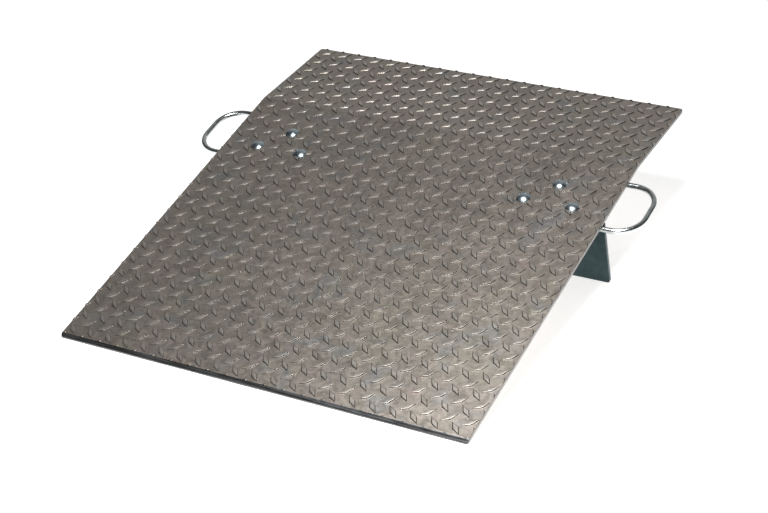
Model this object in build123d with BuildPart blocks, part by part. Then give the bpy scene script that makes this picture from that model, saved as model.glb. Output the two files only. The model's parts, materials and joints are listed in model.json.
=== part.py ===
from build123d import *
import os
from math import atan2, cos, radians, sin, tan

# Portable loading-dock plate, in millimetres. A bent sheet of tread plate stands on its front edge
# and on two bolted steel legs. Two rod handles are welded to the legs and stand out at the sides.
#
# Row frame: X across the plate, Y from the front edge to the rear flap, Z up, with the floor at Z = 0.
# Panel frame: x across, y rearward along the main panel, z along its normal. It starts at the middle
# of the lower front edge, and z = 0 is the underside of the main panel.

# Tread plate: a 30 x 36 inch sheet of 1/4 inch aluminium, its lengths measured on the underside
plate_width = 762.0
plate_thickness = 6.35
panel_length = 692.2
flap_length = 221.7
bend_angle = 9.0
bend_inner_radius = 12.0
plate_corner_radius = 5.0
bevel_run = 6.5
bevel_drop = 3.0

# Legs: bent from 1/4 inch steel plate
leg_thickness = 6.35
leg_front = 535.0
leg_drop = 131.0
leg_outer_edge = 382.0
leg_inner_edge = 192.0
flange_outer_edge = 374.0
leg_bend_inner_radius = 3.0
leg_corner_radius = 5.0
flange_rear = 647.0

# Handles: bent from round bar that lies against the legs, and the welds that hold it
rod_radius = 5.0
rod_gap = 0.3
rod_bend_radius = 46.0
handle_outer = 441.0
handle_inner_end = 296.0
weld_radius = 4.2
weld_length = 24.0
weld_places = (318.0, 356.0)
weld_depth = 5.0
weld_overlap = 1.1

# Fasteners: half-inch carriage bolts, split lock washers and hex nuts
bolt_centre_x = 270.3
bolt_half_pitch = 45.5
bolt_front_row = 556.6
bolt_rear_row = 607.7
bolt_radius = 6.35
bolt_length = 31.75
bolt_tip_chamfer = 1.2
head_radius = 13.2
head_height = 6.2
head_rim_height = 0.8
neck_width = 12.7
neck_hole_width = 13.1
neck_depth = 6.2
flange_hole_radius = 7.15
washer_radius = 11.1
washer_hole_radius = 6.55
washer_thickness = 3.2
washer_split = 1.4
washer_split_slant = 25.0
nut_flat_width = 19.05
nut_height = 11.1
nut_bore_radius = 6.4
nut_corner_drop = 1.3

# How it stands: the main panel rises from the front edge to the line where the legs meet it
panel_tilt = atan2(leg_drop, leg_front)
flap_tilt = panel_tilt - radians(bend_angle)
land_height = plate_thickness - bevel_drop
front_reach = land_height * sin(panel_tilt)
rear_reach = panel_length * cos(panel_tilt) + flap_length * cos(flap_tilt)
front_edge_y = (front_reach - rear_reach) / 2
panel = Plane(
    origin=(0, front_edge_y, 0),
    x_dir=(1, 0, 0),
    z_dir=(0, -sin(panel_tilt), cos(panel_tilt)),
)
sides = {"left": -1, "right": 1}


def section_plane(x):
    """Plane across the part at panel x: its own x runs rearward and its own y along the normal."""
    return Plane(origin=panel.from_local_coords((x, 0, 0)), x_dir=panel.y_dir, z_dir=(1, 0, 0))


def bolt_spots(side):
    """The three bolt places of one leg, by name, in panel x and y."""
    return {
        "front_inner": (side * (bolt_centre_x - bolt_half_pitch), bolt_front_row),
        "front_outer": (side * (bolt_centre_x + bolt_half_pitch), bolt_front_row),
        "rear": (side * bolt_centre_x, bolt_rear_row),
    }


def finish(piece, name):
    """Label a finished piece and write its file."""
    piece.label = name
    export_step(piece, f"parts/{name}.step")


os.makedirs("parts", exist_ok=True)

# Tread plate: the bent sheet, with rounded corners, a bevelled front edge and square bolt holes
bend = radians(bend_angle)
flap_end = (panel_length + flap_length * cos(bend), -flap_length * sin(bend))
flap_end_top = (flap_end[0] + plate_thickness * sin(bend), flap_end[1] + plate_thickness * cos(bend))
top_bend = (panel_length + plate_thickness * tan(bend / 2), plate_thickness)
with BuildPart() as plate:
    with BuildSketch(section_plane(0)) as plate_section:
        with BuildLine():
            Polyline(
                (0, 0),
                (panel_length, 0),
                flap_end,
                flap_end_top,
                top_bend,
                (0, plate_thickness),
                close=True,
            )
        make_face()
        fillet(plate_section.vertices().sort_by_distance((panel_length, 0))[0], bend_inner_radius)
        fillet(plate_section.vertices().sort_by_distance(top_bend)[0], bend_inner_radius + plate_thickness)
    extrude(amount=plate_width / 2, both=True)
    end_faces = plate.faces().sort_by(Axis.Y)
    end_edges = end_faces[0].edges() + end_faces[-1].edges()
    fillet(end_edges.filter_by(lambda edge: edge.length < plate_width / 2), plate_corner_radius)
    with BuildSketch(section_plane(0)):
        with BuildLine():
            Polyline(
                (0, land_height),
                (bevel_run, plate_thickness),
                (bevel_run, 2 * plate_thickness),
                (-bevel_run, 2 * plate_thickness),
                (-bevel_run, land_height - bevel_drop),
                close=True,
            )
        make_face()
    extrude(amount=plate_width, both=True, mode=Mode.SUBTRACT)
    with BuildSketch(panel):
        with Locations([spot for side in sides.values() for spot in bolt_spots(side).values()]):
            Rectangle(neck_hole_width, neck_hole_width)
    extrude(amount=plate_thickness, mode=Mode.SUBTRACT)
finish(plate.part, "tread_plate")

# Legs: a flange under the plate with three round holes, and an upright at its front. The flange is
# cut back along its outer side, behind the upright, so that it stays under the plate.
leg_width = leg_outer_edge - leg_inner_edge
leg_centre = (leg_outer_edge + leg_inner_edge) / 2
upright_rear = leg_front + leg_thickness
flange_depth = flange_rear - leg_front
flange_cut = leg_outer_edge - flange_outer_edge
for side_name, side in sides.items():
    with BuildPart() as leg:
        with BuildSketch(section_plane(side * leg_centre)) as leg_section:
            with BuildLine():
                Polyline(
                    (leg_front, 0),
                    (flange_rear, 0),
                    (flange_rear, -leg_thickness),
                    (upright_rear, -leg_thickness),
                    (upright_rear, -leg_drop),
                    (leg_front, -leg_drop),
                    close=True,
                )
            make_face()
            outer_corner = leg_section.vertices().sort_by_distance((leg_front, 0))[0]
            fillet(outer_corner, leg_bend_inner_radius + leg_thickness)
            inner_corner = leg_section.vertices().sort_by_distance((upright_rear, -leg_thickness))[0]
            fillet(inner_corner, leg_bend_inner_radius)
        extrude(amount=leg_width / 2, both=True)
        foot_edges = leg.faces().sort_by(Axis.Z)[0].edges()
        fillet(foot_edges.filter_by(lambda edge: edge.length < 2 * leg_thickness), leg_corner_radius)
        with BuildSketch(panel):
            with Locations(list(bolt_spots(side).values())):
                Circle(flange_hole_radius)
            with Locations((side * (flange_outer_edge + flange_cut / 2), upright_rear)):
                Rectangle(flange_cut, flange_depth, align=(Align.CENTER, Align.MIN))
        extrude(amount=-(leg_thickness + leg_bend_inner_radius), mode=Mode.SUBTRACT)
    finish(leg.part, f"{side_name}_leg")

# Handles: one bar each, in front of the leg, round the finger gap and back behind the flange
rod_front = leg_front - rod_radius
rod_rear = flange_rear + rod_radius
rod_height = -rod_gap - rod_radius
for side_name, side in sides.items():
    with BuildPart() as handle:
        with BuildLine(panel.offset(rod_height)) as rod_line:
            FilletPolyline(
                (side * handle_inner_end, rod_front),
                (side * handle_outer, rod_front),
                (side * handle_outer, rod_rear),
                (side * handle_inner_end, rod_rear),
                radius=rod_bend_radius,
            )
        with BuildSketch(Plane(origin=rod_line.line @ 0, z_dir=rod_line.line % 0)):
            Circle(rod_radius)
        sweep()
    finish(handle.part, f"{side_name}_handle")

# Handle welds: beads in the corners under the bar where it meets the leg, two in front and two behind
front_bead = (leg_front - weld_overlap, rod_height - weld_depth)
rear_bead = (flange_rear - weld_overlap, rod_height - weld_depth)
for side_name, side in sides.items():
    with BuildPart() as welds:
        for place in weld_places:
            with BuildSketch(section_plane(side * place)):
                with Locations(front_bead, rear_bead):
                    Circle(weld_radius)
                with Locations((rod_front, rod_height), (rod_rear, rod_height)):
                    Circle(rod_radius, mode=Mode.SUBTRACT)
                with Locations((leg_front, 0)):
                    Rectangle(leg_thickness, leg_drop, align=(Align.MIN, Align.MAX), mode=Mode.SUBTRACT)
                with Locations((flange_rear, 0)):
                    Rectangle(flange_depth, leg_thickness, align=(Align.MAX, Align.MAX), mode=Mode.SUBTRACT)
            extrude(amount=weld_length / 2, both=True)
    finish(welds.part, f"{side_name}_handle_welds")

# Carriage bolts: a domed head on the plate, a square neck in its hole and a round shank below
dome_height = head_height - head_rim_height
dome_radius = (head_radius**2 + dome_height**2) / (2 * dome_height)
head_seat = plate_thickness
shank_tip = head_seat - bolt_length
washer_top = -leg_thickness
nut_top = washer_top - washer_thickness
nut_bottom = nut_top - nut_height
nut_corner_radius = nut_flat_width / 2 / cos(radians(30))


def fastener_axis_plane(spot):
    """Plane through a bolt's axis, with its own x out from the axis and its own y along it."""
    return Plane(origin=panel.from_local_coords((*spot, 0)), x_dir=(1, 0, 0), z_dir=-panel.y_dir)


for side_name, side in sides.items():
    for place_name, spot in bolt_spots(side).items():
        name = f"{side_name}_{place_name}"
        bolt_axis = Axis(panel.from_local_coords((*spot, 0)), panel.z_dir)
        with BuildPart() as bolt:
            with BuildSketch(fastener_axis_plane(spot)):
                with BuildLine():
                    Polyline(
                        (0, head_seat + head_height),
                        (0, shank_tip),
                        (bolt_radius - bolt_tip_chamfer, shank_tip),
                        (bolt_radius, shank_tip + bolt_tip_chamfer),
                        (bolt_radius, head_seat),
                        (head_radius, head_seat),
                        (head_radius, head_seat + head_rim_height),
                    )
                    RadiusArc(
                        (head_radius, head_seat + head_rim_height),
                        (0, head_seat + head_height),
                        -dome_radius,
                    )
                make_face()
            revolve(axis=bolt_axis)
            with BuildSketch(panel.offset(head_seat)):
                with Locations(spot):
                    Rectangle(neck_width, neck_width)
            extrude(amount=-neck_depth)
        finish(bolt.part, f"carriage_bolt_{name}")

        with BuildPart() as washer:
            with BuildSketch(panel.offset(washer_top)):
                with Locations(spot):
                    Circle(washer_radius)
                    Circle(washer_hole_radius, mode=Mode.SUBTRACT)
            extrude(amount=-washer_thickness)
            split_centre = panel.from_local_coords((*spot, washer_top - washer_thickness / 2))
            split_plane = Plane(origin=split_centre, x_dir=panel.y_dir, z_dir=(1, 0, 0))
            with BuildSketch(split_plane.rotated((0, 0, washer_split_slant))):
                Rectangle(washer_split, 4 * washer_thickness)
            extrude(amount=2 * washer_radius, mode=Mode.SUBTRACT)
        finish(washer.part, f"lock_washer_{name}")

        with BuildPart() as nut:
            with BuildSketch(panel.offset(nut_top)):
                with Locations(spot):
                    RegularPolygon(nut_flat_width / 2, 6, major_radius=False)
                    Circle(nut_bore_radius, mode=Mode.SUBTRACT)
            extrude(amount=-nut_height)
            with BuildSketch(fastener_axis_plane(spot)):
                with BuildLine():
                    Polyline(
                        (nut_flat_width / 2, nut_bottom),
                        (2 * nut_corner_radius, nut_bottom),
                        (2 * nut_corner_radius, nut_bottom + nut_corner_drop),
                        (nut_corner_radius, nut_bottom + nut_corner_drop),
                        close=True,
                    )
                make_face()
            revolve(axis=bolt_axis, mode=Mode.SUBTRACT)
        finish(nut.part, f"hex_nut_{name}")
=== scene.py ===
"""Looks, light and camera for the portable loading dock plate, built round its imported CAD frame.

Everything is in metres in the row frame. The tread plate is modelled as a flat sheet first: u runs
across it from the centre line, v runs from the front edge along its upper face, and z is the height
above its underside. The sheet is then bent and tilted to lie where the CAD plate lies.
"""

import json
from math import asin, cos, pi, radians, sin, sqrt, tan

import bmesh
import bpy
import numpy as np
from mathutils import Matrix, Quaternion, Vector
from mathutils.geometry import delaunay_2d_cdt


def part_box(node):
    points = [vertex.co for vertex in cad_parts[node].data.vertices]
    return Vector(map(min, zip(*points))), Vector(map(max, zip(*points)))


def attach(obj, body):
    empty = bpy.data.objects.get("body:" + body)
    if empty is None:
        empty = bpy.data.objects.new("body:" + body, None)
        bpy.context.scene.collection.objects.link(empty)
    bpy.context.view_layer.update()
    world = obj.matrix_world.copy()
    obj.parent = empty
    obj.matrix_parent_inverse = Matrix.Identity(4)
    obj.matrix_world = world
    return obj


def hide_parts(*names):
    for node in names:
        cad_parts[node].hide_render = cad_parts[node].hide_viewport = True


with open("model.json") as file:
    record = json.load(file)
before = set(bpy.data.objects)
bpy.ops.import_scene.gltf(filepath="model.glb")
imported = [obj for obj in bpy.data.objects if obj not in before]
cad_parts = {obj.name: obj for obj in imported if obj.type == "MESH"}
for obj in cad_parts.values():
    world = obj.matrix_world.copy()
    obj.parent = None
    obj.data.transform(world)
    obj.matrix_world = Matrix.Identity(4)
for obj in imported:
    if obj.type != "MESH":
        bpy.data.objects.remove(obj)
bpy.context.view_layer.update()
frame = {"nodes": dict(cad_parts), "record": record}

# The two planes of the sheet, as the record's flat faces give them
MOUNTS = {mount["name"]: mount for mount in frame["record"]["mounts"]}
ACROSS = Vector((1, 0, 0))
PANEL_REAR = Vector(MOUNTS["right_leg_rear_face"]["axis"]).normalized()
PANEL_UP = ACROSS.cross(PANEL_REAR)
FLAP_UP = -Vector(MOUNTS["flap_underside"]["axis"]).normalized()
FLAP_REAR = FLAP_UP.cross(ACROSS)
BEND_ANGLE = PANEL_UP.angle(FLAP_UP)

# The sheet's own sizes. The land is the upright strip left below the bevel at the front edge.
SHEET_THICKNESS = 0.00635
PANEL_LENGTH = 0.6922
FLAP_LENGTH = 0.2217
BEND_RADIUS = 0.012
BEND_STEPS = 6
CORNER_RADIUS = 0.005
CORNER_STEPS = 6
EDGE_BREAK = 0.0004
BEVEL_RUN = 0.0065
BEVEL_STEPS = 4
LAND_HEIGHT = 0.00335

# Tread: two families of lugs, each on its own lattice, at right angles to each other. Each row of
# a lattice is shifted by the skew. An outline power of 1 gives a rhombus, and 2 gives a lens.
LUG_PITCH_U = 0.03592
LUG_PITCH_V = 0.03754
LUG_ROW_SKEW = -0.00023
LUG_HALF_LENGTH = 0.0150
LUG_HALF_WIDTH = 0.0050
LUG_TAPER = 2.0
LUG_OUTLINE_POWER = 1.12
LUG_MARGIN = 0.012
LUG_RIDGE_INSET = LUG_HALF_WIDTH - 0.0001
# The centre of one lug of each family, and the side that its far end leans to
LUG_FAMILIES = {
    "leaning_left": {"origin": (-0.04499, 0.28251), "lean": -1},
    "leaning_right": {"origin": (-0.06355, 0.26224), "lean": 1},
}
# Each ring of a lug, from its foot to its crown: how far it is inside the outline, and its height
LUG_RINGS = (
    (-0.0003, 0.0),
    (0.0001, 0.00018),
    (0.0013, 0.00142),
    (0.0018, 0.00155),
)
LUG_CROWN_HEIGHT = 0.0016
LUG_STATIONS = (-1.0, -0.66, -0.3, 0.0, 0.3, 0.66, 1.0)
DEPTH_HALVINGS = 24

# Carriage bolts, handle bars and welds
BOLT_RADIUS = 0.00635
HEAD_HEIGHT = 0.0062
HEAD_RIM = 0.0008
HEAD_TOP_RADIUS = 0.0002
RIM_CUT = 0.0003
RIM_RISE = 0.0002
FOOT_CUT = 0.0002
PLAIN_SHANK_BELOW_SHEET = 0.007
THREAD_PITCH = 0.001954
THREAD_DEPTH = 0.0009
TIP_CHAMFER = 0.0012
BOLT_SEGMENTS = 40
DOME_STEPS = 12
THREAD_STEPS = 96
ROD_BEND_RADIUS = 0.046
ROD_BEND_STEPS = 20
ROD_SEGMENTS = 24
WELD_RADIUS = 0.0042
WELD_STEPS = 36
WELD_SEGMENTS = 14
WELD_RIPPLES = 7
WELD_RIPPLE_DEPTH = 0.1
WELD_RIPPLE_BOW = 0.5
WELD_END_POWER = 6
WELD_END_SHARE = 0.05

# Rounded edges of the parts that are copied from the CAD shapes
LEG_ROUNDING = 0.0007
FASTENER_ROUNDING = 0.0003
ROUNDING_SEGMENTS = 2
HARD_EDGE_DEGREES = 28
FLAT_EDGE_DEGREES = 0.4

# Edges sharper than these angles in degrees are shaded as creases
SHEET_CREASE = 30
COPY_CREASE = 40
ROUND_CREASE = 50
WELD_CREASE = 60

# Distances under which points and heights count as the same
MERGE_DISTANCE = 2e-6
LINE_TOLERANCE = 1e-6
SHEET_TOLERANCE = 1e-7

# Materials of the tread plate's mesh, by their index
TREAD_FACE, BEVEL_FACE, SHEARED_FACE, LAND_FACE = range(4)

# Colours of the rolled aluminium
WARM_DARK = (0.39, 0.35, 0.31, 1)
WARM_LIGHT = (0.45, 0.40, 0.355, 1)
OLIVE_STAIN = (0.41, 0.385, 0.32, 1)
BLUE_STAIN = (0.35, 0.365, 0.38, 1)
PINK_STAIN = (0.46, 0.37, 0.345, 1)
# Painted shade: a dark colour laid on the lugs' flanks in place of the shade and dark reflections they
# get
FLANK_SHADE_COLOUR = (0.10, 0.095, 0.09, 1)
WORN_COLOUR = (0.78, 0.74, 0.68, 1)

# Stretch that draws a cut edge's lines out along the sheet's front edge, or along its thickness
LINES_ACROSS = (0.02, 1, 1)
LINES_UPRIGHT = (1, 1, 0.04)

# Studio
FLOOR_RADIUS = 40
FLOOR_DROP = 0.0002
FLOOR_GLOW = 0.75
WORLD_GLOW_START = 0.42


# --- Helpers for meshes -------------------------------------------------------------------------


def add_object(name, mesh, materials):
    """Links a mesh as a piece of the object that rides on its one body."""
    piece = bpy.data.objects.new(name, mesh)
    bpy.context.scene.collection.objects.link(piece)
    for material in materials:
        mesh.materials.append(material)
    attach(piece, "root")
    return piece


def shade_smooth(mesh, angle):
    """Smooth shading, apart from edges sharper than the angle in degrees."""
    mesh.polygons.foreach_set("use_smooth", [True] * len(mesh.polygons))
    mesh.set_sharp_from_angle(angle=radians(angle))


def weight_normals(piece):
    """Lets the large flat faces set the normals at their borders, so that they stay flat."""
    modifier = piece.modifiers.new("face_weighted_normals", "WEIGHTED_NORMAL")
    modifier.keep_sharp = True


# --- Materials ----------------------------------------------------------------------------------


class Recipe:
    """A material being made: its node tree, its shader and short ways to add nodes."""

    def __init__(self, name, **values):
        self.material = bpy.data.materials.new(name)
        self.material.use_nodes = True
        self.tree = self.material.node_tree
        self.shader = self.tree.nodes["Principled BSDF"]
        for socket, value in values.items():
            self.shader.inputs[socket.replace("_", " ")].default_value = value
        self.position = self.add("TexCoord").outputs["Object"]

    def add(self, kind, settings=None, **inputs):
        """A new shader node, with its settings and what feeds its inputs."""
        made = self.tree.nodes.new("ShaderNode" + kind)
        for name, value in (settings or {}).items():
            setattr(made, name, value)
        for name, value in inputs.items():
            self.feed(made.inputs[name.replace("_", " ")], value)
        return made

    def feed(self, socket, value):
        """Links a socket to another node's output, or gives it a constant."""
        if isinstance(value, bpy.types.NodeSocket):
            self.tree.links.new(value, socket)
        else:
            socket.default_value = value

    def stretched(self, scales):
        """The position, scaled along each axis."""
        return self.add("Mapping", Vector=self.position, Scale=scales).outputs["Vector"]

    def noise(self, scale, detail, roughness=0.5, distortion=0.0, vector=None):
        """Noise from about 0.2 to 0.8, with scale in waves to the metre."""
        made = self.add(
            "TexNoise",
            Vector=vector or self.position,
            Scale=scale,
            Detail=detail,
            Roughness=roughness,
            Distortion=distortion,
        )
        return made.outputs["Fac"]

    def spread(self, value, low, high, source=(0.3, 0.7)):
        """The value mapped from the source range to low to high, and held there."""
        made = self.add(
            "MapRange",
            {"clamp": True},
            Value=value,
            From_Min=source[0],
            From_Max=source[1],
            To_Min=low,
            To_Max=high,
        )
        return made.outputs["Result"]

    def mix(self, factor, first, second, how="MIX"):
        """Two colours mixed by a factor, through the Mix node's colour sockets: 6 and 7, and 2."""
        made = self.add("Mix", {"data_type": "RGBA", "blend_type": how})
        self.feed(made.inputs[0], factor)
        self.feed(made.inputs[6], first)
        self.feed(made.inputs[7], second)
        return made.outputs[2]

    def calculate(self, how, first, second):
        """Two numbers combined."""
        made = self.add("Math", {"operation": how})
        self.feed(made.inputs[0], first)
        self.feed(made.inputs[1], second)
        return made.outputs[0]

    def attribute(self, name):
        """A number that the mesh holds at its points."""
        return self.add("Attribute", {"attribute_name": name}).outputs["Fac"]

    def bump(self, height, distance, strength, onto=None):
        """A normal that is tipped by a height, on top of another bump's normal where one is given."""
        made = self.add("Bump", Height=height, Distance=distance, Strength=strength)
        if onto:
            self.feed(made.inputs["Normal"], onto)
        return made.outputs["Normal"]

    def finish(self, **sockets):
        """The material, once its shader's sockets are fed."""
        for name, value in sockets.items():
            self.feed(self.shader.inputs[name.replace("_", " ")], value)
        return self.material


def tread_material():
    """Mill-finish rolled aluminium: cloudy warm grey with tinted stains, painted shade darkening the
    lugs' flanks, and lugs brighter on top from wear.
    """
    recipe = Recipe("rolled_aluminium", Metallic=1.0)
    clouds = recipe.noise(5.5, detail=4, distortion=0.9)
    stains = recipe.noise(9.0, detail=5, distortion=1.6, vector=recipe.stretched((1, 0.55, 1)))
    tints = recipe.noise(17.0, detail=4, distortion=1.2)
    swirls = recipe.noise(62.0, detail=5, roughness=0.6, distortion=1.4)
    grain = recipe.noise(420.0, detail=3, roughness=0.6)
    roll_lines = recipe.noise(60.0, detail=4, vector=recipe.stretched((1, 0.06, 0.06)))
    tread_rise = recipe.attribute("tread_height")

    warm = recipe.mix(recipe.spread(clouds, 0, 1, (0.35, 0.65)), WARM_DARK, WARM_LIGHT)
    olive = recipe.mix(recipe.spread(stains, 0, 0.7, (0.48, 0.66)), warm, OLIVE_STAIN)
    blue = recipe.mix(recipe.spread(tints, 0, 0.65, (0.55, 0.72)), olive, BLUE_STAIN)
    pink = recipe.mix(recipe.spread(tints, 0.55, 0, (0.28, 0.44)), blue, PINK_STAIN)
    mottled = recipe.mix(1.0, pink, recipe.spread(swirls, 0.84, 1.14), "MULTIPLY")
    lined = recipe.mix(1.0, mottled, recipe.spread(roll_lines, 0.93, 1.07), "MULTIPLY")
    grained = recipe.mix(1.0, lined, recipe.spread(grain, 0.9, 1.1), "MULTIPLY")

    # Painted shade: the lugs' flanks, between foot and shoulder, are mixed toward a dark colour
    above_foot = recipe.spread(tread_rise, 0, 1, (0.0, 0.12))
    below_shoulder = recipe.spread(tread_rise, 1, 0, (0.55, 0.75))
    flank_shade = recipe.calculate("MULTIPLY", above_foot, below_shoulder)
    flank_shaded = recipe.mix(recipe.calculate("MULTIPLY", flank_shade, 0.82), grained, FLANK_SHADE_COLOUR)
    colour = recipe.mix(recipe.spread(tread_rise, 0, 0.45, (0.8, 1)), flank_shaded, WORN_COLOUR)

    base_roughness = recipe.spread(swirls, 0.36, 0.48)
    polish = recipe.spread(tread_rise, 0, 0.06, (0.75, 1))
    grain_strength = recipe.spread(tread_rise, 0.4, 0.06, (0.0, 0.25))
    grain_bump = recipe.bump(grain, 0.00012, grain_strength)
    swirl_bump = recipe.bump(swirls, 0.0012, 0.12, grain_bump)
    return recipe.finish(
        Base_Color=colour,
        Roughness=recipe.calculate("SUBTRACT", base_roughness, polish),
        Normal=swirl_bump,
    )


def cut_edge_material(name, light, dark, roughness, line_stretch, line_scale):
    """A sheared or planed edge of the sheet, with its fine lines drawn out along one direction."""
    recipe = Recipe(name, Metallic=1.0)
    lines = recipe.noise(line_scale, detail=4, roughness=0.65, vector=recipe.stretched(line_stretch))
    patches = recipe.noise(45.0, detail=4, distortion=0.8)
    colour = recipe.mix(recipe.spread(lines, 0, 1, (0.42, 0.58)), light, dark)
    colour = recipe.mix(recipe.spread(patches, 0, 0.4), colour, dark)
    lined = recipe.mix(1.0, colour, recipe.spread(lines, 0.82, 1.12), "MULTIPLY")
    return recipe.finish(
        Base_Color=lined,
        Roughness=recipe.spread(patches, roughness - 0.06, roughness + 0.08),
        Normal=recipe.bump(lines, 0.0002, 0.5),
    )


def zinc_material(name, light, dark, roughness, spangle=95.0):
    """Zinc plating: two close tones in soft patches, fine pits and slight unevenness."""
    recipe = Recipe(name, Metallic=1.0)
    patches = recipe.noise(14.0, detail=5, distortion=0.7)
    flecks = recipe.noise(spangle, detail=3, distortion=0.5)
    pits = recipe.noise(700.0, detail=2)
    toned = recipe.mix(recipe.spread(patches, 0, 1, (0.32, 0.68)), light, dark)
    flecked = recipe.mix(1.0, toned, recipe.spread(flecks, 0.88, 1.12), "MULTIPLY")
    wave_bump = recipe.bump(flecks, 0.0004, 0.25)
    return recipe.finish(
        Base_Color=flecked,
        Roughness=recipe.spread(flecks, roughness - 0.05, roughness + 0.07),
        Normal=recipe.bump(pits, 0.00008, 0.35, wave_bump),
    )


# --- Tread plate --------------------------------------------------------------------------------

plate_low, plate_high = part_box("tread_plate")
SHEET_WIDTH = plate_high.x - plate_low.x
FRONT_EDGE = Vector((0, plate_low.y - LAND_HEIGHT * PANEL_UP.y, plate_low.z))
BEND_START = PANEL_LENGTH - BEND_RADIUS * tan(BEND_ANGLE / 2)
TOP_BEND_RADIUS = BEND_RADIUS + SHEET_THICKNESS
BEND_RUN = TOP_BEND_RADIUS * BEND_ANGLE
FLAP_RUN = FLAP_LENGTH - BEND_RADIUS * tan(BEND_ANGLE / 2)
SHEET_LENGTH = BEND_START + BEND_RUN + FLAP_RUN
BEVEL_SLOPE = (SHEET_THICKNESS - LAND_HEIGHT) / BEVEL_RUN


def place_on_sheet(u, v, z):
    """Points of the flat sheet where the bent and tilted sheet has them, as an array of rows."""
    turn = np.clip((v - BEND_START) / BEND_RUN, 0, 1) * BEND_ANGLE
    before = np.minimum(v, BEND_START)
    after = np.maximum(v - BEND_START - BEND_RUN, 0)
    radius = BEND_RADIUS + z
    rear = before + radius * np.sin(turn) + after * np.cos(turn)
    height = radius * np.cos(turn) - BEND_RADIUS - after * np.sin(turn)
    points = u[:, None] * np.array(ACROSS) + rear[:, None] * np.array(PANEL_REAR)
    return np.array(FRONT_EDGE) + points + height[:, None] * np.array(PANEL_UP)


def lug_ring(centre, lean, inset):
    """One closed ring of a lug, as points of the sheet."""
    half_length = LUG_HALF_LENGTH - LUG_TAPER * inset
    half_width = LUG_HALF_WIDTH - inset
    one_side = [(s * half_length, half_width * (1 - abs(s) ** LUG_OUTLINE_POWER)) for s in LUG_STATIONS]
    other_side = [(along, -aside) for along, aside in reversed(one_side[1:-1])]
    return [
        (centre[0] + (lean * along - aside) / sqrt(2), centre[1] + (along + lean * aside) / sqrt(2))
        for along, aside in one_side + other_side
    ]


def lug_centres(family):
    """The places of one family's lugs whose centres lie on the sheet or just outside it."""
    origin_u, origin_v = family["origin"]
    rows = range(int(-origin_v / LUG_PITCH_V) - 1, int((SHEET_LENGTH - origin_v) / LUG_PITCH_V) + 2)
    columns = range(int(-(SHEET_WIDTH / 2) / LUG_PITCH_U) - 1, int(SHEET_WIDTH / 2 / LUG_PITCH_U) + 4)
    for row in rows:
        for column in columns:
            u = origin_u + column * LUG_PITCH_U + row * LUG_ROW_SKEW
            v = origin_v + row * LUG_PITCH_V
            if abs(u) < SHEET_WIDTH / 2 + LUG_MARGIN and -LUG_MARGIN < v < SHEET_LENGTH + LUG_MARGIN:
                yield u, v


def lug_height(u, v):
    """Height of the tread above the sheet, at points of the sheet."""
    height = np.zeros_like(u)
    for family in LUG_FAMILIES.values():
        origin_u, origin_v = family["origin"]
        row = np.round((v - origin_v) / LUG_PITCH_V)
        shifted = u - origin_u - row * LUG_ROW_SKEW
        across = shifted - np.round(shifted / LUG_PITCH_U) * LUG_PITCH_U
        along_v = v - origin_v - row * LUG_PITCH_V
        along = (family["lean"] * across + along_v) / sqrt(2)
        aside = np.abs(family["lean"] * along_v - across) / sqrt(2)
        depth = lug_depth(along, aside)
        insets = [inset for inset, _ in LUG_RINGS] + [LUG_HALF_WIDTH]
        heights = [ring_height for _, ring_height in LUG_RINGS] + [LUG_CROWN_HEIGHT]
        height = np.maximum(height, np.interp(depth, insets, heights))
    return height


def lug_depth(along, aside):
    """How far inside the lug's outline a point is: the inset of the ring that passes through it."""
    low = np.full_like(along, LUG_RINGS[0][0])
    high = np.full_like(along, LUG_HALF_WIDTH)
    for _ in range(DEPTH_HALVINGS):
        middle = (low + high) / 2
        share = np.minimum(np.abs(along) / (LUG_HALF_LENGTH - LUG_TAPER * middle), 1)
        inside = aside < (LUG_HALF_WIDTH - middle) * (1 - share**LUG_OUTLINE_POWER)
        low = np.where(inside, middle, low)
        high = np.where(inside, high, middle)
    return low


def rounded_outline():
    """The sheet's outline without its broken edge, anticlockwise, as points of the sheet."""
    reach_u = SHEET_WIDTH / 2 - CORNER_RADIUS
    corners = (
        (-reach_u, CORNER_RADIUS, pi),
        (reach_u, CORNER_RADIUS, 1.5 * pi),
        (reach_u, SHEET_LENGTH - CORNER_RADIUS, 0),
        (-reach_u, SHEET_LENGTH - CORNER_RADIUS, 0.5 * pi),
    )
    radius = CORNER_RADIUS - EDGE_BREAK
    outline = []
    for u, v, start in corners:
        for step in range(CORNER_STEPS + 1):
            angle = start + step * pi / 2 / CORNER_STEPS
            outline.append((u + radius * cos(angle), v + radius * sin(angle)))
    return outline


def triangulate(points, edges, outline):
    """Triangles inside the outline that keep to the edges: their points, corners and border loop."""
    found = delaunay_2d_cdt([Vector(p) for p in points], edges, [outline], 0, SHEET_TOLERANCE)
    inside = [face for face, source in zip(found[2], found[5]) if source]
    used = sorted({corner for face in inside for corner in face})
    renumbered = {old: new for new, old in enumerate(used)}
    faces = [tuple(renumbered[corner] for corner in face) for face in inside]
    places = np.array([found[0][old] for old in used])
    return places, faces, border_loop(faces)


def border_loop(faces):
    """The corners round the outside of a sheet of triangles, in the triangles' own direction."""
    edges = {(face[i], face[(i + 1) % len(face)]) for face in faces for i in range(len(face))}
    following = {a: b for a, b in edges if (b, a) not in edges}
    loop = [next(iter(following))]
    while following[loop[-1]] != loop[0]:
        loop.append(following[loop[-1]])
    return loop


def outward(places):
    """Unit directions out of the sheet at points of its border."""
    corner = np.array([SHEET_WIDTH / 2 - CORNER_RADIUS, SHEET_LENGTH / 2 - CORNER_RADIUS])
    centred = places - np.array([0, SHEET_LENGTH / 2])
    away = centred - np.clip(centred, -corner, corner)
    return away / np.linalg.norm(away, axis=1)[:, None]


def bend_lines():
    """Places along the sheet where it has a line of edges across it, so that it can bend there."""
    return [BEND_START + BEND_RUN * step / BEND_STEPS for step in range(BEND_STEPS + 1)]


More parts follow.
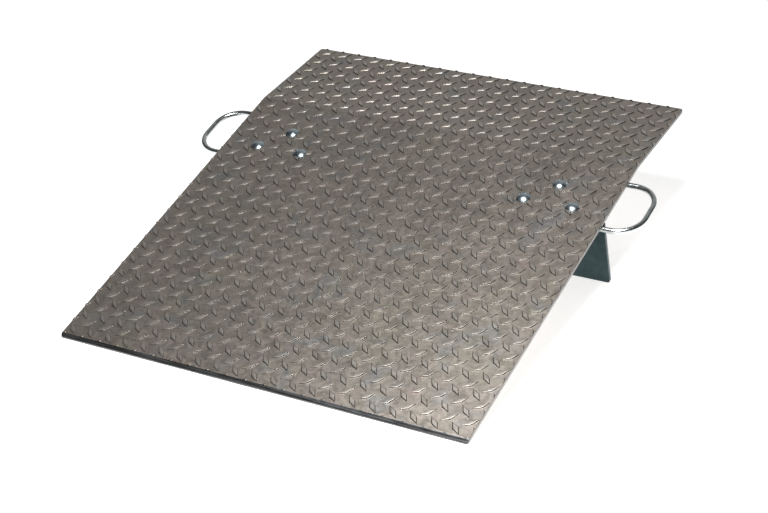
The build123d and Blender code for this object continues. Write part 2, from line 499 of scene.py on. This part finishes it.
def bevel_lines():
    """Where the bevel ends on the flat sheet, and where it ends on a lug, with steps between them."""
    end_on_lug = (SHEET_THICKNESS + LUG_CROWN_HEIGHT - LAND_HEIGHT) / BEVEL_SLOPE
    return [BEVEL_RUN + (end_on_lug - BEVEL_RUN) * step / BEVEL_STEPS for step in range(BEVEL_STEPS + 1)]


def tread_surface():
    """The sheet's upper face, with its lugs, its bevel and its bend, as points and triangles."""
    points = rounded_outline()
    outline = list(range(len(points)))
    edges = []
    for family in LUG_FAMILIES.values():
        for centre in lug_centres(family):
            for inset, _ in LUG_RINGS:
                first = len(points)
                points += lug_ring(centre, family["lean"], inset)
                count = len(points) - first
                edges += [(first + i, first + (i + 1) % count) for i in range(count)]
            ridge = lug_ring(centre, family["lean"], LUG_RIDGE_INSET)
            edges.append((len(points), len(points) + 1))
            points += [ridge[0], ridge[len(LUG_STATIONS) - 1]]
    for v in bend_lines() + bevel_lines():
        edges.append((len(points), len(points) + 1))
        points += [(-SHEET_WIDTH, v), (SHEET_WIDTH, v)]
    return triangulate(points, edges, outline)


def underside_surface(rim):
    """The sheet's plain lower face, on the same border as the upper one."""
    edges = []
    for line in bend_lines():
        on_line = [i for i, place in enumerate(rim) if abs(place[1] - line) < LINE_TOLERANCE]
        edges.append((min(on_line, key=lambda i: rim[i][0]), max(on_line, key=lambda i: rim[i][0])))
    return triangulate(rim, edges, list(range(len(rim))))


def sheet_heights(u, v):
    """Heights of the upper face with its bevel, and whether the bevel has planed each point."""
    raised = SHEET_THICKNESS + lug_height(u, v)
    bevel = LAND_HEIGHT + v * BEVEL_SLOPE
    return np.minimum(raised, bevel), raised > bevel - SHEET_TOLERANCE


def wall_faces(loop, rim, upper_wall, lower_wall, underside):
    """The broken edges and the wall round the sheet, with the material index of each face."""
    faces = []
    kinds = []
    for i, corner in enumerate(loop):
        j = (i + 1) % len(loop)
        faces.append((corner, upper_wall + i, upper_wall + j, loop[j]))
        faces.append((upper_wall + i, lower_wall + i, lower_wall + j, upper_wall + j))
        faces.append((lower_wall + i, underside[i], underside[j], lower_wall + j))
        at_front = rim[i][1] < CORNER_RADIUS and rim[j][1] < CORNER_RADIUS
        kinds += [LAND_FACE if at_front else SHEARED_FACE] * 3
    return faces, kinds


def sheet_shape():
    """The whole sheet: its points, its faces, their material indexes and the height of its tread."""
    top, top_faces, loop = tread_surface()
    u, v = top[:, 0], top[:, 1]
    heights, planed = sheet_heights(u, v)
    rim = top[loop]
    under, under_faces, _ = underside_surface(rim)
    out = rim + outward(rim) * EDGE_BREAK

    levels = [
        (u, v, heights),
        (out[:, 0], out[:, 1], heights[loop] - EDGE_BREAK),
        (out[:, 0], out[:, 1], np.full(len(rim), EDGE_BREAK)),
        (under[:, 0], under[:, 1], np.zeros(len(under))),
    ]
    places = np.concatenate([place_on_sheet(*level) for level in levels])
    upper_wall = len(top)
    lower_wall = upper_wall + len(rim)
    lowest = lower_wall + len(rim)
    underside = [lowest + int(np.argmin(np.sum((under - place) ** 2, axis=1))) for place in rim]

    walls, wall_kinds = wall_faces(loop, rim, upper_wall, lower_wall, underside)
    faces = [tuple(face) for face in top_faces] + walls
    faces += [tuple(lowest + corner for corner in reversed(face)) for face in under_faces]
    kinds = [BEVEL_FACE if planed[list(face)].all() else TREAD_FACE for face in top_faces]
    kinds += wall_kinds + [TREAD_FACE] * len(under_faces)
    tread_height = np.zeros(len(places))
    tread_height[: len(top)] = lug_height(u, v) / LUG_CROWN_HEIGHT
    return places, faces, kinds, tread_height


def build_tread_plate(materials):
    """One closed mesh: the tread side, the broken edges, the walls and the plain underside."""
    places, faces, kinds, tread_height = sheet_shape()
    mesh = bpy.data.meshes.new("tread_plate_with_lugs")
    mesh.from_pydata(places.tolist(), [], faces)
    shade_smooth(mesh, SHEET_CREASE)
    tread_rise = mesh.attributes.new("tread_height", "FLOAT", "POINT")
    tread_rise.data.foreach_set("value", tread_height.astype(np.float32))
    plate = add_object("tread_plate_with_lugs", mesh, materials)
    mesh.polygons.foreach_set("material_index", kinds)
    weight_normals(plate)
    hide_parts("tread_plate")


# --- Steel parts --------------------------------------------------------------------------------


def refined_copy(node, rounding, materials):
    """A copy of a CAD node's shape with its hard edges rounded to a small radius."""
    source = frame["nodes"][node].data
    shape = bmesh.new()
    shape.from_mesh(source)
    bmesh.ops.remove_doubles(shape, verts=shape.verts, dist=MERGE_DISTANCE)
    flat = radians(FLAT_EDGE_DEGREES)
    bmesh.ops.dissolve_limit(shape, angle_limit=flat, verts=shape.verts, edges=shape.edges)
    sharp = radians(HARD_EDGE_DEGREES)
    hard = [edge for edge in shape.edges if edge.is_manifold and edge.calc_face_angle() > sharp]
    bmesh.ops.bevel(
        shape,
        geom=hard,
        offset=rounding,
        segments=ROUNDING_SEGMENTS,
        profile=0.5,
        affect="EDGES",
        clamp_overlap=True,
    )
    mesh = bpy.data.meshes.new(node + "_finished")
    shape.to_mesh(mesh)
    shape.free()
    shade_smooth(mesh, COPY_CREASE)
    piece = add_object(node + "_finished", mesh, materials)
    weight_normals(piece)
    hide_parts(node)


def span(node, direction):
    """How far a CAD node reaches along a direction, from lowest to highest."""
    along = [vertex.co.dot(direction) for vertex in frame["nodes"][node].data.vertices]
    return min(along), max(along)


def panel_point(across, rear, up):
    """A point from its distances along the panel's three directions, measured from the origin."""
    return ACROSS * across + PANEL_REAR * rear + PANEL_UP * up


def skin(rings):
    """A closed mesh through equal rings of points, with a flat cap at each end."""
    mesh = bpy.data.meshes.new("skin")
    count = len(rings[0])
    faces = []
    for i in range(len(rings) - 1):
        low, high = i * count, (i + 1) * count
        for j in range(count):
            k = (j + 1) % count
            faces.append((low + j, low + k, high + k, high + j))
    faces.append(tuple(reversed(range(count))))
    faces.append(tuple(range((len(rings) - 1) * count, len(rings) * count)))
    mesh.from_pydata([tuple(point) for ring in rings for point in ring], [], faces)
    return mesh


def finish_skin(node, mesh, materials, crease):
    """Turns a skin into the visible piece that stands for a CAD node."""
    shape = bmesh.new()
    shape.from_mesh(mesh)
    bmesh.ops.recalc_face_normals(shape, faces=shape.faces)
    shape.to_mesh(mesh)
    shape.free()
    mesh.name = node + "_finished"
    shade_smooth(mesh, crease)
    piece = add_object(node + "_finished", mesh, materials)
    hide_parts(node)


def thread_radius(turn, along, start):
    """Radius of the shank at a turn round it and a depth below the head, with its rolled thread."""
    phase = (along / THREAD_PITCH + turn / (2 * pi)) % 1
    wave = abs(2 * phase - 1)
    depth = THREAD_DEPTH * min(max((along - start) / THREAD_PITCH, 0), 1)
    return BOLT_RADIUS - depth * (1 - wave)


def head_profile(head_radius, top):
    """Radius and height of each ring of a bolt's domed head, from its top down to the shank."""
    dome_height = HEAD_HEIGHT - HEAD_RIM
    dome_radius = (head_radius**2 + dome_height**2) / (2 * dome_height)
    seat = top - HEAD_HEIGHT
    widest = asin(head_radius / dome_radius)
    profile = [(HEAD_TOP_RADIUS, top)]
    for step in range(1, DOME_STEPS + 1):
        tilt = widest * step / DOME_STEPS
        profile.append((dome_radius * sin(tilt), top - dome_radius * (1 - cos(tilt))))
    profile[-1] = (head_radius - RIM_CUT, profile[-1][1] + RIM_RISE)
    profile += [(head_radius, seat + HEAD_RIM - RIM_CUT), (head_radius, seat + FOOT_CUT)]
    profile += [(head_radius - FOOT_CUT, seat), (BOLT_RADIUS, seat)]
    return profile


def shank_rings(seat, tip, turns):
    """Radius and height of each point of the threaded shank, ring by ring from the head down."""
    thread_start = SHEET_THICKNESS + PLAIN_SHANK_BELOW_SHEET
    length = seat - tip
    rings = []
    for step in range(1, THREAD_STEPS + 1):
        along = length * step / THREAD_STEPS
        blunt = max(0, along - (length - TIP_CHAMFER))
        radii = [min(thread_radius(turn, along, thread_start), BOLT_RADIUS - blunt) for turn in turns]
        rings.append([(radius, seat - along) for radius in radii])
    return rings


def build_bolt(node, materials):
    """A carriage bolt: a smooth domed head on the plate and a threaded shank below it."""
    low_x, high_x = span(node, ACROSS)
    low_rear, high_rear = span(node, PANEL_REAR)
    tip, top = span(node, PANEL_UP)
    turns = [2 * pi * i / BOLT_SEGMENTS for i in range(BOLT_SEGMENTS)]
    rings = [[ring] * BOLT_SEGMENTS for ring in head_profile((high_x - low_x) / 2, top)]
    rings += shank_rings(top - HEAD_HEIGHT, tip, turns)

    centre_x, centre_rear = (low_x + high_x) / 2, (low_rear + high_rear) / 2
    placed = [
        [
            panel_point(centre_x + radius * cos(turn), centre_rear + radius * sin(turn), height)
            for turn, (radius, height) in zip(turns, ring)
        ]
        for ring in rings
    ]
    finish_skin(node, skin(placed), materials, ROUND_CREASE)


def build_handle(node, materials):
    """A round bar bent to a loop: straight along the leg, round two bends and back behind it."""
    low_x, high_x = span(node, ACROSS)
    low_rear, high_rear = span(node, PANEL_REAR)
    low_up, high_up = span(node, PANEL_UP)
    radius = (high_up - low_up) / 2
    side = 1 if high_x + low_x > 0 else -1
    inner, outer = (low_x, high_x - radius) if side > 0 else (high_x, low_x + radius)
    front, rear = low_rear + radius, high_rear - radius
    height = (low_up + high_up) / 2

    path = [((inner, front), -pi / 2)]
    for corner, start in ((front + ROD_BEND_RADIUS, -pi / 2), (rear - ROD_BEND_RADIUS, 0)):
        for step in range(ROD_BEND_STEPS + 1):
            turn = start + step * pi / 2 / ROD_BEND_STEPS
            x = outer - side * ROD_BEND_RADIUS + side * ROD_BEND_RADIUS * cos(turn)
            path.append(((x, corner + ROD_BEND_RADIUS * sin(turn)), turn))
    path.append(((inner, rear), pi / 2))

    circle = [2 * pi * i / ROD_SEGMENTS for i in range(ROD_SEGMENTS)]
    rings = []
    for (x, along), turn in path:
        outwards = ACROSS * (side * cos(turn)) + PANEL_REAR * sin(turn)
        centre = panel_point(x, along, height)
        rings.append([centre + (outwards * cos(c) + PANEL_UP * sin(c)) * radius for c in circle])
    finish_skin(node, skin(rings), materials, ROUND_CREASE)


def loose_parts(node):
    """The separate solids of a CAD node, each as a list of its points."""
    shape = bmesh.new()
    shape.from_mesh(frame["nodes"][node].data)
    bmesh.ops.remove_doubles(shape, verts=shape.verts, dist=MERGE_DISTANCE)
    shape.verts.index_update()
    waiting = set(shape.verts)
    parts = []
    while waiting:
        start = min(waiting, key=lambda vertex: vertex.index)
        reached = {start}
        to_visit = [start]
        while to_visit:
            vertex = to_visit.pop()
            for edge in vertex.link_edges:
                neighbour = edge.other_vert(vertex)
                if neighbour not in reached:
                    reached.add(neighbour)
                    to_visit.append(neighbour)
        waiting -= reached
        parts.append([vertex.co.copy() for vertex in reached])
    shape.free()
    return parts


def bead_rings(points):
    """Rings of one rippled weld bead that fills the corner where its CAD solid lies."""
    low_x, high_x = min(p.x for p in points), max(p.x for p in points)
    rear = min(p.dot(PANEL_REAR) for p in points) + WELD_RADIUS
    height = min(p.dot(PANEL_UP) for p in points) + WELD_RADIUS
    rings = []
    for step in range(WELD_STEPS + 1):
        share = 2 * step / WELD_STEPS - 1
        ending = sqrt(max(1 - abs(share) ** WELD_END_POWER, WELD_END_SHARE))
        ring = []
        for corner in range(WELD_SEGMENTS):
            turn = 2 * pi * corner / WELD_SEGMENTS
            ripple = abs(sin(pi * WELD_RIPPLES * share + WELD_RIPPLE_BOW * sin(turn)))
            radius = WELD_RADIUS * ending * (1 - WELD_RIPPLE_DEPTH + WELD_RIPPLE_DEPTH * ripple)
            x = (low_x + high_x) / 2 + share * (high_x - low_x) / 2
            ring.append(panel_point(x, rear + radius * cos(turn), height + radius * sin(turn)))
        rings.append(ring)
    return rings


def build_welds(node, materials):
    """All the beads of one handle, joined in one piece."""
    points, faces = [], []
    for part in loose_parts(node):
        bead = skin(bead_rings(part))
        first = len(points)
        points += [tuple(vertex.co) for vertex in bead.vertices]
        faces += [tuple(first + corner for corner in polygon.vertices) for polygon in bead.polygons]
        bpy.data.meshes.remove(bead)
    mesh = bpy.data.meshes.new(node)
    mesh.from_pydata(points, [], faces)
    finish_skin(node, mesh, materials, WELD_CREASE)


# --- Build --------------------------------------------------------------------------------------

aluminium = tread_material()
bevel_cut = cut_edge_material(
    "bevel_cut", (0.42, 0.43, 0.44, 1), (0.07, 0.072, 0.075, 1), 0.36, LINES_ACROSS, 420.0
)
sheared = cut_edge_material(
    "sheared_edge", (0.34, 0.325, 0.31, 1), (0.24, 0.23, 0.22, 1), 0.45, LINES_UPRIGHT, 900.0
)
front_land = cut_edge_material(
    "front_land", (0.22, 0.22, 0.22, 1), (0.08, 0.08, 0.08, 1), 0.45, LINES_ACROSS, 420.0
)
build_tread_plate([aluminium, bevel_cut, sheared, front_land])

# The legs' zinc keeps a blue-green tint but is darkened far below bare zinc plating: painted shade and
# painted dark reflections from under the plate
leg_zinc = zinc_material("leg_zinc", (0.050, 0.078, 0.082, 1), (0.028, 0.044, 0.047, 1), 0.34)
handle_zinc = zinc_material("handle_zinc", (0.66, 0.69, 0.69, 1), (0.54, 0.58, 0.58, 1), 0.2)
fastener_zinc = zinc_material("fastener_zinc", (0.52, 0.60, 0.65, 1), (0.42, 0.50, 0.55, 1), 0.27, 160.0)
weld_metal = zinc_material("weld_metal", (0.30, 0.31, 0.32, 1), (0.18, 0.19, 0.20, 1), 0.38)

for node_name in frame["nodes"]:
    if node_name.endswith("_leg"):
        refined_copy(node_name, LEG_ROUNDING, [leg_zinc])
    elif node_name.endswith("_handle"):
        build_handle(node_name, [handle_zinc])
    elif node_name.endswith("_welds"):
        build_welds(node_name, [weld_metal])
    elif node_name.startswith("carriage_bolt"):
        build_bolt(node_name, [fastener_zinc])
    elif node_name.startswith(("hex_nut", "lock_washer")):
        refined_copy(node_name, FASTENER_ROUNDING, [fastener_zinc])


# --- Studio -------------------------------------------------------------------------------------


def add_floor():
    """A plain pale floor that reaches the horizon."""
    mesh = bpy.data.meshes.new("studio_floor")
    shape = bmesh.new()
    bmesh.ops.create_circle(shape, cap_ends=True, segments=64, radius=FLOOR_RADIUS)
    bmesh.ops.translate(shape, verts=shape.verts, vec=(0, 0, -FLOOR_DROP))
    shape.to_mesh(mesh)
    shape.free()
    recipe = Recipe("pale_floor", Roughness=0.9)
    tone = recipe.noise(1.5, detail=2)
    colour = recipe.mix(recipe.spread(tone, 0, 1), (0.90, 0.90, 0.90, 1), (0.92, 0.92, 0.92, 1))
    recipe.shader.inputs["Emission Color"].default_value = (1, 1, 1, 1)
    recipe.shader.inputs["Emission Strength"].default_value = FLOOR_GLOW
    mesh.materials.append(recipe.finish(Base_Color=colour))
    floor = bpy.data.objects.new("studio_floor", mesh)
    bpy.context.scene.collection.objects.link(floor)


def add_softbox(name, place, aim, width, depth, power):
    """A rectangular area light that faces a point."""
    light = bpy.data.lights.new(name, "AREA")
    light.shape = "RECTANGLE"
    light.size, light.size_y = width, depth
    light.energy = power
    lamp = bpy.data.objects.new(name, light)
    bpy.context.scene.collection.objects.link(lamp)
    lamp.visible_camera = False
    lamp.location = place
    lamp.rotation_mode = "QUATERNION"
    lamp.rotation_quaternion = (Vector(aim) - Vector(place)).to_track_quat("-Z", "Y")


def add_world(bright, dim, towards):
    """Soft surroundings that are brightest in one direction, like a pale wall in a darker studio."""
    world = bpy.data.worlds.new("studio")
    world.use_nodes = True
    nodes, links = world.node_tree.nodes, world.node_tree.links
    background = nodes["Background"]
    direction = nodes.new("ShaderNodeTexCoord").outputs["Generated"]
    facing = nodes.new("ShaderNodeVectorMath")
    facing.operation = "DOT_PRODUCT"
    facing.inputs[1].default_value = Vector(towards).normalized()
    links.new(direction, facing.inputs[0])
    strength = nodes.new("ShaderNodeMapRange")
    strength.interpolation_type = "SMOOTHSTEP"
    strength.inputs["From Min"].default_value = WORLD_GLOW_START
    strength.inputs["From Max"].default_value = 1.0
    strength.inputs["To Min"].default_value = dim
    strength.inputs["To Max"].default_value = bright
    links.new(facing.outputs["Value"], strength.inputs["Value"])
    links.new(strength.outputs["Result"], background.inputs["Strength"])
    background.inputs["Color"].default_value = (1.0, 1.0, 1.0, 1)
    bpy.context.scene.world = world


def add_camera(place, aim, roll, lens):
    """The photographer's view: a long lens from the front right, slightly rolled."""
    data = bpy.data.cameras.new("camera")
    data.sensor_width = 36
    data.lens = lens
    data.clip_end = 200
    camera = bpy.data.objects.new("camera", data)
    bpy.context.scene.collection.objects.link(camera)
    camera.location = place
    camera.rotation_mode = "QUATERNION"
    level = (Vector(aim) - Vector(place)).to_track_quat("-Z", "Y")
    camera.rotation_quaternion = level @ Quaternion((0, 0, 1), roll)
    bpy.context.scene.camera = camera


add_floor()
add_world(bright=0.43, dim=0.05, towards=(-0.20, 0.90, 0.35))
add_softbox("overhead_softbox", (0.28, -0.50, 1.6), (0.28, -0.50, 0), width=0.6, depth=0.6, power=30)
add_softbox("front_strip", (0.6, -2.4, 2.0), (0, 0, 0.1), width=1.15, depth=0.3, power=14)
add_camera((1.4480, -2.5358, 1.5745), (-0.0216, 0.0302, 0.0), roll=radians(-2.662), lens=87.722)
bpy.context.scene.view_settings.view_transform = "Standard"
